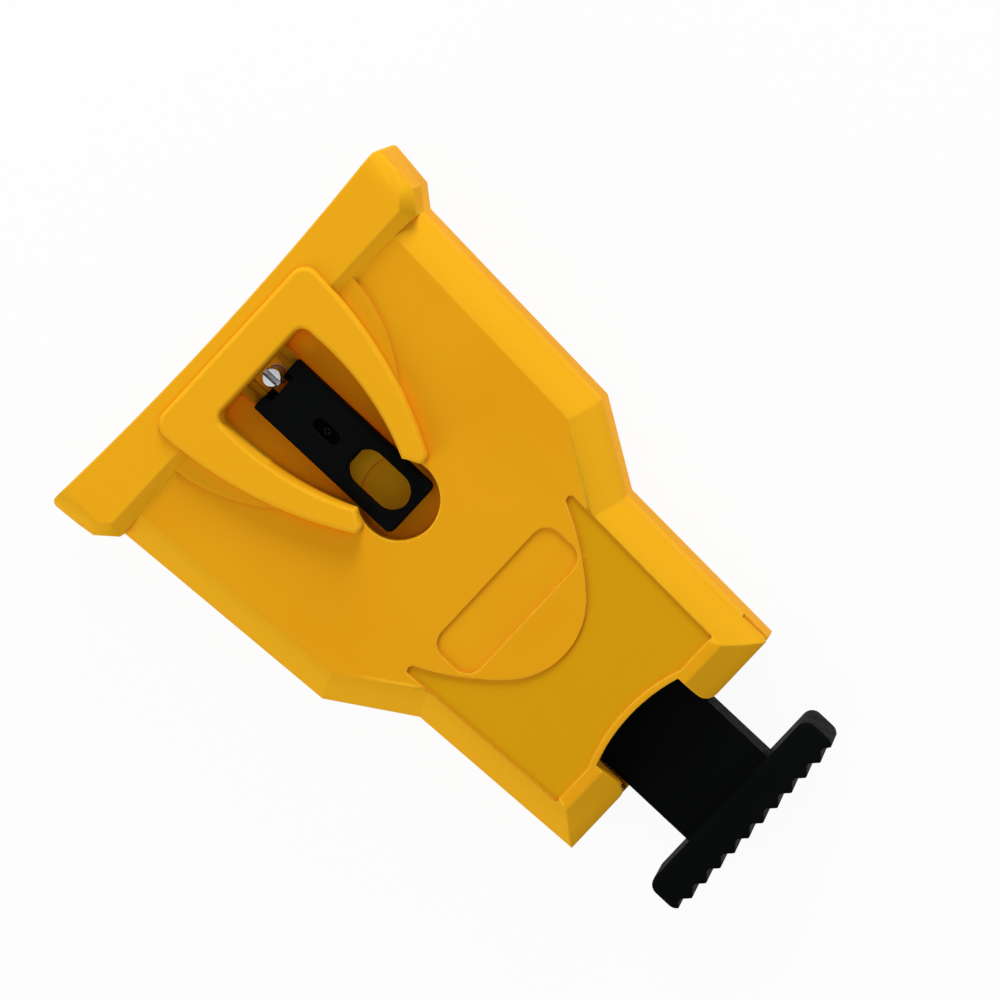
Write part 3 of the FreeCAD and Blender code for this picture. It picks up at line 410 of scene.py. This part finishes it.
def makePlastic(name, look):
    material, tree, shader = newMaterial(name)
    shader["Specular IOR Level"].default_value = look["gloss"]
    grain = placeGroup(tree, mouldGrain, {})
    edges = placeGroup(tree, roundedEdges, {"Radius": look["edgeRadius"]})
    cloud = spread(tree, grain["Cloud"], *grainLook["cloudRange"], 0.0, 1.0)
    body = mixColour(tree, cloud, look["deep"], look["colour"])
    # painted highlight on rounded edges, broken up by random specks
    highlightOnEdges = mathNode(tree, "MULTIPLY", edges["Edge"], look["edgeHighlightShare"])
    if "panel" in look:
        body = casingTones(tree, body, look)
    # painted shade in inside corners, where the edge highlight is also left out
    if "corner" in look:
        near = placeGroup(tree, hollows, look["cornerShadeHollow"])["Shut"]
        highlightOnEdges = mathNode(tree, "MULTIPLY", highlightOnEdges, mathNode(tree, "SUBTRACT", 1.0, near))
        shade = mathNode(tree, "MULTIPLY", near, look["cornerShadeShare"])
        body = mixColour(tree, shade, body, look["corner"])
    speckledHighlight = mathNode(tree, "MULTIPLY", highlightOnEdges, spread(tree, grain["Speck"], *highlightSpecks))
    tree.links.new(mixColour(tree, speckledHighlight, body, look["edge"]), shader["Base Color"])
    roughAndGrained(tree, shader, grain, edges["Normal"], look)
    return material


yellowPlastic = makePlastic("yellowPlastic", mouldedPlastic["yellow"])
blackPlastic = makePlastic("blackPlastic", mouldedPlastic["black"])

metals = {
    "zincSteel": {"colour": (0.60, 0.62, 0.64), "rough": (0.24, 0.42)},
    "darkSteel": {"colour": (0.016, 0.012, 0.012), "rough": (0.34, 0.50)},
    "bluedSteel": {"colour": (0.09, 0.17, 0.36), "rough": (0.24, 0.40)},
}
metalSurface = {
    "grain": {"Pitch": 3800.0, "Cloud Pitch": 180.0},
    "edgeRadius": 0.00015,
    "dim": 0.72,                # colour of its clouds and of its painted shade in hollows, as shares of its own
    "dark": 0.05,
    "hollow": {"Reach": 0.003, "Open Share": 0.12, "Strength": 6.0},
    "grainStrength": 0.2,
    "grainDepth": 0.00002,
}


def makeMetal(name, look):
    material, tree, shader = newMaterial(name)
    shader["Metallic"].default_value = 1
    grain = placeGroup(tree, mouldGrain, look["grain"])
    edges = placeGroup(tree, roundedEdges, {"Radius": look["edgeRadius"]})
    plain, dim, dark = (tuple(part * share for part in look["colour"]) + (1,)
                        for share in (1, look["dim"], look["dark"]))
    cloud = spread(tree, grain["Cloud"], *grainLook["cloudRange"], 0.0, 1.0)
    metal = mixColour(tree, cloud, dim, plain)
    # painted shade: hollows darken towards the dark colour
    shut = placeGroup(tree, hollows, look["hollow"])["Shut"]
    tree.links.new(mixColour(tree, shut, metal, dark), shader["Base Color"])
    roughAndGrained(tree, shader, grain, edges["Normal"], look)
    return material


zincSteel, darkSteel, bluedSteel = (makeMetal(name, {**metalSurface, **metals[name]})
                                    for name in ("zincSteel", "darkSteel", "bluedSteel"))

abrasive = {
    "light": (0.42, 0.10, 0.16, 1),
    "dark": (0.22, 0.035, 0.075, 1),
    "glint": (0.75, 0.45, 0.48, 1),
    "toneRange": (0.1, 0.7),
    "glintRange": (0.86, 0.9),
    "glintShare": 0.6,
    "gritPitch": 1500.0,
    "grain": {"Pitch": 900.0, "Cloud Pitch": 220.0},
    "edgeRadius": 0.0003,
    "rough": 0.9,
    "bumpStrength": 0.9,
    "bumpDepth": 0.0002,
}


def makeAbrasive(name, look):
    material, tree, shader = newMaterial(name)
    shader["Roughness"].default_value = look["rough"]
    place = tree.nodes.new("ShaderNodeTexCoord")
    grit = tree.nodes.new("ShaderNodeTexVoronoi")
    grit.inputs["Scale"].default_value = look["gritPitch"]
    tree.links.new(place.outputs["Object"], grit.inputs["Vector"])
    grain = placeGroup(tree, mouldGrain, look["grain"])
    edges = placeGroup(tree, roundedEdges, {"Radius": look["edgeRadius"]})
    tone = spread(tree, grit.outputs["Distance"], *look["toneRange"], 0.0, 1.0)
    glint = spread(tree, grit.outputs["Color"], *look["glintRange"], 0.0, look["glintShare"])
    stone = mixColour(tree, tone, look["light"], look["dark"])
    tree.links.new(mixColour(tree, glint, stone, look["glint"]), shader["Base Color"])
    height = mathNode(tree, "ADD", grit.outputs["Distance"], grain["Height"])
    bump = bumpOver(tree, height, look["bumpStrength"], look["bumpDepth"], edges["Normal"])
    tree.links.new(bump, shader["Normal"])
    return material


pinkAbrasive = makeAbrasive("pinkAbrasive", abrasive)

nodeMaterials = {
    "yellow_plastic": yellowPlastic,
    "black_plastic": blackPlastic,
    "steel": zincSteel,
    "dark_steel": darkSteel,
    "blued_steel": bluedSteel,
    "grinding_stone": pinkAbrasive,
}
nodeSlots = {part["node"]: part["material_slot"] for part in frame["record"]["subparts"]}
nodeBodies = {name: body for body, names in frame["record"]["behaviour"]["bodies"].items()
              for name in names}
for name, slotName in nodeSlots.items():
    mesh = nodes[name].data
    mesh.materials.clear()
    mesh.materials.append(nodeMaterials[slotName])
print("materials made")


# pieces made from the frame's own shapes, with the soft edges that a mould or a lathe leaves
softPieces = {
    "frontCasing": {"node": "front_casing", "smoothBelow": 27, "edge": None, "flank": {
        "radius": 8.5, "low": 25.5, "lean": 48, "wallLean": 14, "share": 0.85}},
    "backCasing": {"node": "back_casing", "smoothBelow": 27, "edge": None},
    "pushHandle": {"node": "push_handle", "smoothBelow": 50, "edge": 0.6, "segments": 3},
    "latchSlider": {"node": "latch_slider", "smoothBelow": 50, "edge": 0.3, "segments": 2},
    "sliderKeeper": {"node": "slider_keeper", "smoothBelow": 50, "edge": 0.25, "segments": 2},
    "latchPin": {"node": "latch_pin", "smoothBelow": 40, "edge": 0.14, "segments": 2},
    "locatingPin": {"node": "locating_pin", "smoothBelow": 40, "edge": 0.14, "segments": 2},
    "latchPinWasher": {"node": "latch_pin_washer", "smoothBelow": 40, "edge": 0.12, "segments": 2},
    "locatingPinWasher": {
        "node": "locating_pin_washer", "smoothBelow": 40, "edge": 0.12, "segments": 2},
    "latchPinNut": {"node": "latch_pin_nut", "smoothBelow": 50, "edge": 0.35, "segments": 3},
    "locatingPinNut": {"node": "locating_pin_nut", "smoothBelow": 50, "edge": 0.35, "segments": 3},
    "clampNut": {"node": "clamp_nut", "smoothBelow": 50, "edge": 0.3, "segments": 3},
    "clampPlate": {"node": "stone_clamp", "smoothBelow": 50, "edge": 0.2, "segments": 2},
    "hingePinRight": {"node": "hinge_pin_right", "smoothBelow": 40, "edge": 0.3, "segments": 3},
    "hingePinLeft": {"node": "hinge_pin_left", "smoothBelow": 40, "edge": 0.3, "segments": 3},
}
meshCare = {
    "mergeWithin": 0.002,       # millimetres
    "flatWithin": 0.4,          # degrees
    "edgeFrom": 38,             # degrees between faces from which an edge is rounded
    "evenWeight": 50,
}
flankFaces = {
    "upright": 0.03,            # a normal that rises less belongs to a wall
    "level": 0.998,             # and one that rises more to the top
    "within": 0.25,             # millimetres off the rounding's own curve
    "wallOver": 0.5,            # how far a wall may reach above the rounding's foot
    "clear": 0.05,
}


def mergedCopy(nodeName):
    mesh = nodes[nodeName].data.copy()
    shape = bmesh.new()
    shape.from_mesh(mesh)
    near = meshCare["mergeWithin"] * mm
    bmesh.ops.remove_doubles(shape, verts=shape.verts, dist=near)
    bmesh.ops.dissolve_degenerate(shape, edges=shape.edges, dist=near)
    bmesh.ops.dissolve_limit(shape, angle_limit=math.radians(meshCare["flatWithin"]),
                             verts=shape.verts, edges=shape.edges)
    shape.to_mesh(mesh)
    shape.free()
    return mesh


def evaluated(holder):
    depsgraph = bpy.context.evaluated_depsgraph_get()
    made = bpy.data.meshes.new_from_object(holder.evaluated_get(depsgraph))
    bpy.data.objects.remove(holder)
    return made


def newHolder(mesh):
    holder = bpy.data.objects.new("holder", mesh)
    scene.collection.objects.link(holder)
    return holder


def withModifier(mesh, kind, values):
    holder = newHolder(mesh)
    modifier = holder.modifiers.new(kind, kind)
    for key, value in values.items():
        setattr(modifier, key, value)
    return evaluated(holder)


def softEdged(mesh, width, segments):
    return withModifier(mesh, "BEVEL", {
        "width": width * mm,
        "segments": segments,
        "limit_method": "ANGLE",
        "angle_limit": math.radians(meshCare["edgeFrom"]),
        "use_clamp_overlap": True,
    })


def softShading(mesh, smoothBelow):
    for face in mesh.polygons:
        face.use_smooth = True
    mesh.set_sharp_from_angle(angle=math.radians(smoothBelow))
    return withModifier(mesh, "WEIGHTED_NORMAL", {
        "mode": "FACE_AREA", "weight": meshCare["evenWeight"], "keep_sharp": True})


def surfaceOf(mesh):
    return BVHTree.FromPolygons([vertex.co for vertex in mesh.vertices],
                                [face.vertices for face in mesh.polygons])


def facetShading(mesh, look):
    # the casing's rounded flank is shaded as the one leaning face that it stands for
    normals = [Vector(corner.vector) for corner in mesh.corner_normals]
    solid = surfaceOf(mesh)
    turned = 0
    for face in mesh.polygons:
        normal, height = face.normal, face.center.z
        offCurve = abs(height - look["low"] * mm - look["radius"] * mm * normal.z)
        rising = flankFaces["upright"] < normal.z < flankFaces["level"]
        lowWall = (abs(normal.z) < flankFaces["upright"]
                   and height < (look["low"] + flankFaces["wallOver"]) * mm)
        if rising and offCurve < flankFaces["within"] * mm:
            lean = look["lean"]
        elif lowWall and not solid.ray_cast(
                face.center + normal * flankFaces["clear"] * mm, normal)[0]:
            lean = look["wallLean"]
        else:
            continue
        lean = math.radians(lean)
        across = Vector((normal.x, normal.y, 0)).normalized() * math.cos(lean)
        leaning = across + Vector((0, 0, math.sin(lean)))
        for corner in face.loop_indices:
            normals[corner] = normals[corner].lerp(leaning, look["share"]).normalized()
        turned += 1
    mesh.normals_split_custom_set(normals)
    print("flank faces shaded flat:", turned)


def finishPiece(name, mesh, nodeName, standsFor=True):
    piece = bpy.data.objects.new(name, mesh)
    scene.collection.objects.link(piece)
    mesh.materials.clear()
    mesh.materials.append(nodeMaterials[nodeSlots[nodeName]])
    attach(piece, nodeBodies[nodeName])
    if standsFor:
        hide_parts(nodeName)
    return piece


def makeSoftPiece(name, look):
    mesh = mergedCopy(look["node"])
    if look["edge"]:
        mesh = softEdged(mesh, look["edge"], look["segments"])
    mesh = softShading(mesh, look["smoothBelow"])
    if "flank" in look:
        facetShading(mesh, look["flank"])
    finishPiece(name, mesh, look["node"])


for name, look in softPieces.items():
    makeSoftPiece(name, look)
print("soft-edged pieces made:", len(softPieces))


# screws with a cross recess in the head
crossScrews = {
    "sliderScrew": {"node": "slider_screw", "reach": 1.0, "arm": 0.22, "depth": 0.8},
    "clampScrew": {"node": "clamp_screw", "reach": 1.9, "arm": 0.42, "depth": 1.1},
}
crossShape = {
    "turns": (45, 135),
    "lowReach": 0.55,           # how much of the reach and the arm is left at the bottom
    "lowArm": 0.6,
    "above": 0.2,
    "smoothBelow": 40,
}
blockFaces = ((3, 2, 1, 0), (4, 5, 6, 7), (0, 1, 5, 4), (1, 2, 6, 5), (2, 3, 7, 6), (3, 0, 4, 7))


def crossCutter(middle, top, look):
    shape = bmesh.new()
    low = (top - look["depth"] * mm, look["reach"] * crossShape["lowReach"] * mm,
           look["arm"] * crossShape["lowArm"] * mm)
    high = (top + crossShape["above"] * mm, look["reach"] * mm, look["arm"] * mm)
    for degrees in crossShape["turns"]:
        turn = math.radians(degrees)
        corners = []
        for height, reach, arm in (low, high):
            for x, y in ((-reach, -arm), (reach, -arm), (reach, arm), (-reach, arm)):
                across = x * math.cos(turn) - y * math.sin(turn)
                along = x * math.sin(turn) + y * math.cos(turn)
                corners.append(shape.verts.new((middle.x + across, middle.y + along, height)))
        for face in blockFaces:
            shape.faces.new([corners[k] for k in face])
    mesh = bpy.data.meshes.new("crossCutter")
    shape.to_mesh(mesh)
    shape.free()
    return mesh


def makeCrossScrew(name, look):
    low, high = (Vector(corner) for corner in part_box(look["node"]))
    cutter = bpy.data.objects.new("cutter", crossCutter((low + high) / 2, high.z, look))
    scene.collection.objects.link(cutter)
    mesh = withModifier(mergedCopy(look["node"]), "BOOLEAN", {
        "operation": "DIFFERENCE", "object": cutter, "solver": "EXACT", "use_self": True})
    bpy.data.objects.remove(cutter)
    finishPiece(name, softShading(mesh, crossShape["smoothBelow"]), look["node"])


for name, look in crossScrews.items():
    makeCrossScrew(name, look)
print("cross-head screws made:", len(crossScrews))


# steps that the Geometry Nodes trees share
def newGrower(name, inputs):
    tree = bpy.data.node_groups.new(name, "GeometryNodeTree")
    tree.interface.new_socket("Geometry", in_out="INPUT", socket_type="NodeSocketGeometry")
    for label, kind, value in inputs:
        socket = tree.interface.new_socket(label, in_out="INPUT", socket_type=kind)
        if value is not None:
            socket.default_value = value
    tree.interface.new_socket("Geometry", in_out="OUTPUT", socket_type="NodeSocketGeometry")
    return tree, tree.nodes.new("NodeGroupInput").outputs


def endGrower(tree, geometry, material):
    real = tree.nodes.new("GeometryNodeRealizeInstances")
    coat = tree.nodes.new("GeometryNodeSetMaterial")
    made = tree.nodes.new("NodeGroupOutput")
    tree.links.new(geometry, real.inputs["Geometry"])
    tree.links.new(real.outputs["Geometry"], coat.inputs["Geometry"])
    tree.links.new(material, coat.inputs["Material"])
    tree.links.new(coat.outputs["Geometry"], made.inputs["Geometry"])


def grown(tree, mesh, values):
    holder = newHolder(mesh)
    modifier = holder.modifiers.new(tree.name, "NODES")
    modifier.node_group = tree
    for socket in tree.interface.items_tree:
        isInput = socket.item_type == "SOCKET" and socket.in_out == "INPUT"
        if isInput and socket.name in values:
            modifier[socket.identifier] = values[socket.name]
    return evaluated(holder)


# screw threads on the shanks that can be seen
threads = {
    "latchPinThread": {
        "node": "latch_pin", "radius": 1.93, "from": 0.75, "length": 3.0, "pitch": 0.7},
    "locatingPinThread": {
        "node": "locating_pin", "radius": 1.93, "from": 0.75, "length": 3.0, "pitch": 0.7},
    "clampScrewThread": {
        "node": "clamp_screw", "radius": 1.43, "from": 7.75, "length": 4.5, "pitch": 0.5},
}
threadShape = {
    "turnSteps": 24,
    "ridgeSides": 4,
    "ridge": 0.3,               # the ridge's half height, as a share of the pitch
}


def makeThreadTree(look):
    tree, given = newGrower("screwThread", [
        ("Radius", "NodeSocketFloat", 0.0019),
        ("Length", "NodeSocketFloat", 0.003),
        ("Pitch", "NodeSocketFloat", 0.0007),
        ("Metal", "NodeSocketMaterial", None),
    ])
    spiral = tree.nodes.new("GeometryNodeCurveSpiral")
    spiral.inputs["Resolution"].default_value = look["turnSteps"]
    ridge = tree.nodes.new("GeometryNodeCurvePrimitiveCircle")
    ridge.inputs["Resolution"].default_value = look["ridgeSides"]
    sweep = tree.nodes.new("GeometryNodeCurveToMesh")
    sweep.inputs["Fill Caps"].default_value = True
    turns = mathNode(tree, "DIVIDE", given["Length"], given["Pitch"])
    size = mathNode(tree, "MULTIPLY", given["Pitch"], look["ridge"])
    for value, label in ((turns, "Rotations"), (given["Radius"], "Start Radius"),
                         (given["Radius"], "End Radius"), (given["Length"], "Height")):
        tree.links.new(value, spiral.inputs[label])
    tree.links.new(size, ridge.inputs["Radius"])
    tree.links.new(spiral.outputs["Curve"], sweep.inputs["Curve"])
    tree.links.new(ridge.outputs["Curve"], sweep.inputs["Profile Curve"])
    endGrower(tree, sweep.outputs["Mesh"], given["Metal"])
    return tree


def makeThread(name, look, tree):
    low, high = (Vector(corner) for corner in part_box(look["node"]))
    middle = (low + high) / 2
    mesh = grown(tree, bpy.data.meshes.new(name), {
        "Radius": look["radius"] * mm - look["pitch"] * threadShape["ridge"] * mm,
        "Length": look["length"] * mm,
        "Pitch": look["pitch"] * mm,
        "Metal": nodeMaterials[nodeSlots[look["node"]]],
    })
    mesh.transform(Matrix.Translation((middle.x, middle.y, look["from"] * mm)))
    finishPiece(name, mesh, look["node"], standsFor=False)


threadTree = makeThreadTree(threadShape)
for name, look in threads.items():
    makeThread(name, look, threadTree)
print("threads made:", len(threads))


# grains that stand out of the stone
stoneGrit = {
    "node": "grinding_stone",
    "perSquareMm": 1.1,
    "grain": 0.17,
    "smallest": 0.5,            # shares of the grain's size
    "largest": 1.1,
    "seed": 11,
}


def makeGritTree(look):
    tree, given = newGrower("stoneGrit", [
        ("Density", "NodeSocketFloat", 1000000.0),
        ("Grain", "NodeSocketFloat", 0.00015),
        ("Seed", "NodeSocketInt", None),
        ("Abrasive", "NodeSocketMaterial", None),
    ])
    spots = tree.nodes.new("GeometryNodeDistributePointsOnFaces")
    ball = tree.nodes.new("GeometryNodeMeshIcoSphere")
    ball.inputs["Subdivisions"].default_value = 1
    place = tree.nodes.new("GeometryNodeInstanceOnPoints")
    size = tree.nodes.new("FunctionNodeRandomValue")
    turn = tree.nodes.new("FunctionNodeRandomValue")
    for node, least, most in ((size, look["smallest"], look["largest"]), (turn, 0, math.tau)):
        node.data_type = "FLOAT_VECTOR"
        node.inputs["Min"].default_value = (least, least, least)
        node.inputs["Max"].default_value = (most, most, most)
    for node in (spots, size, turn):
        tree.links.new(given["Seed"], node.inputs["Seed"])
    tree.links.new(given["Geometry"], spots.inputs["Mesh"])
    tree.links.new(given["Density"], spots.inputs["Density"])
    tree.links.new(given["Grain"], ball.inputs["Radius"])
    tree.links.new(spots.outputs["Points"], place.inputs["Points"])
    tree.links.new(ball.outputs["Mesh"], place.inputs["Instance"])
    tree.links.new(size.outputs["Value"], place.inputs["Scale"])
    tree.links.new(turn.outputs["Value"], place.inputs["Rotation"])
    endGrower(tree, place.outputs["Instances"], given["Abrasive"])
    return tree


gritMesh = grown(makeGritTree(stoneGrit), mergedCopy(stoneGrit["node"]), {
    "Density": stoneGrit["perSquareMm"] / mm ** 2,
    "Grain": stoneGrit["grain"] * mm,
    "Seed": stoneGrit["seed"],
    "Abrasive": pinkAbrasive,
})
finishPiece("stoneGrit", gritMesh, stoneGrit["node"], standsFor=False)
print("stone grit scattered")


# round marks that the ejector pins of the mould leave inside the casings
ejectorMarks = {
    "radius": 2.1,
    "height": 0.14,
    "sides": 28,
    "smoothBelow": 30,
    "casings": {                # where a look from inside starts, and which way it goes
        "frontMarks": {"node": "front_casing", "from": 17.3, "way": 1},
        "backMarks": {"node": "back_casing", "from": 16.7, "way": -1},
    },
    "spots": ((30, 62), (30, 34), (16, 58), (26, 8), (13, 14), (20, -12), (12, -38), (24, -40),
              (36, 48)),
}
flatRoom = {                    # the room that a mark needs round it
    "around": 1,
    "looks": 8,
    "levelFace": 0.99,
    "within": 0.02,
}


def makeMarkTree(look):
    tree, given = newGrower("ejectorMark", [
        ("Radius", "NodeSocketFloat", 0.0021),
        ("Height", "NodeSocketFloat", 0.0003),
        ("Plastic", "NodeSocketMaterial", None),
    ])
    disc = tree.nodes.new("GeometryNodeMeshCylinder")
    disc.inputs["Vertices"].default_value = look["sides"]
    place = tree.nodes.new("GeometryNodeInstanceOnPoints")
    tree.links.new(given["Radius"], disc.inputs["Radius"])
    tree.links.new(given["Height"], disc.inputs["Depth"])
    tree.links.new(given["Geometry"], place.inputs["Points"])
    tree.links.new(disc.outputs["Mesh"], place.inputs["Instance"])
    endGrower(tree, place.outputs["Instances"], given["Plastic"])
    return tree


def levelUnder(solid, x, y, look):
    start = Vector((x * mm, y * mm, look["from"] * mm))
    place, normal = solid.ray_cast(start, Vector((0, 0, look["way"])))[:2]
    return place.z if place and abs(normal.z) > flatRoom["levelFace"] else None


def flatSpots(look):
    # spots on both sides of the middle where the wall is level all round
    solid = surfaceOf(nodes[look["node"]].data)
    reach = ejectorMarks["radius"] + flatRoom["around"]
    turns = [math.tau * k / flatRoom["looks"] for k in range(flatRoom["looks"])]
    found = []
    for x, y in ejectorMarks["spots"]:
        for side in (1, -1):
            middle = levelUnder(solid, side * x, y, look)
            heights = [middle] + [levelUnder(solid, side * x + reach * math.cos(turn),
                                             y + reach * math.sin(turn), look) for turn in turns]
            if None not in heights and max(heights) - min(heights) < flatRoom["within"] * mm:
                found.append(Vector((side * x * mm, y * mm, middle)))
    return found


def makeMarks(name, look, tree):
    spots = flatSpots(look)
    points = bpy.data.meshes.new(name)
    points.from_pydata(spots, [], [])
    mesh = grown(tree, points, {
        "Radius": ejectorMarks["radius"] * mm,
        "Height": ejectorMarks["height"] * 2 * mm,      # half of it lies in the wall
        "Plastic": yellowPlastic,
    })
    mesh = softShading(mesh, ejectorMarks["smoothBelow"])
    finishPiece(name, mesh, look["node"], standsFor=False)
    print(name, len(spots), "marks")


markTree = makeMarkTree(ejectorMarks)
for name, look in ejectorMarks["casings"].items():
    makeMarks(name, look, markTree)
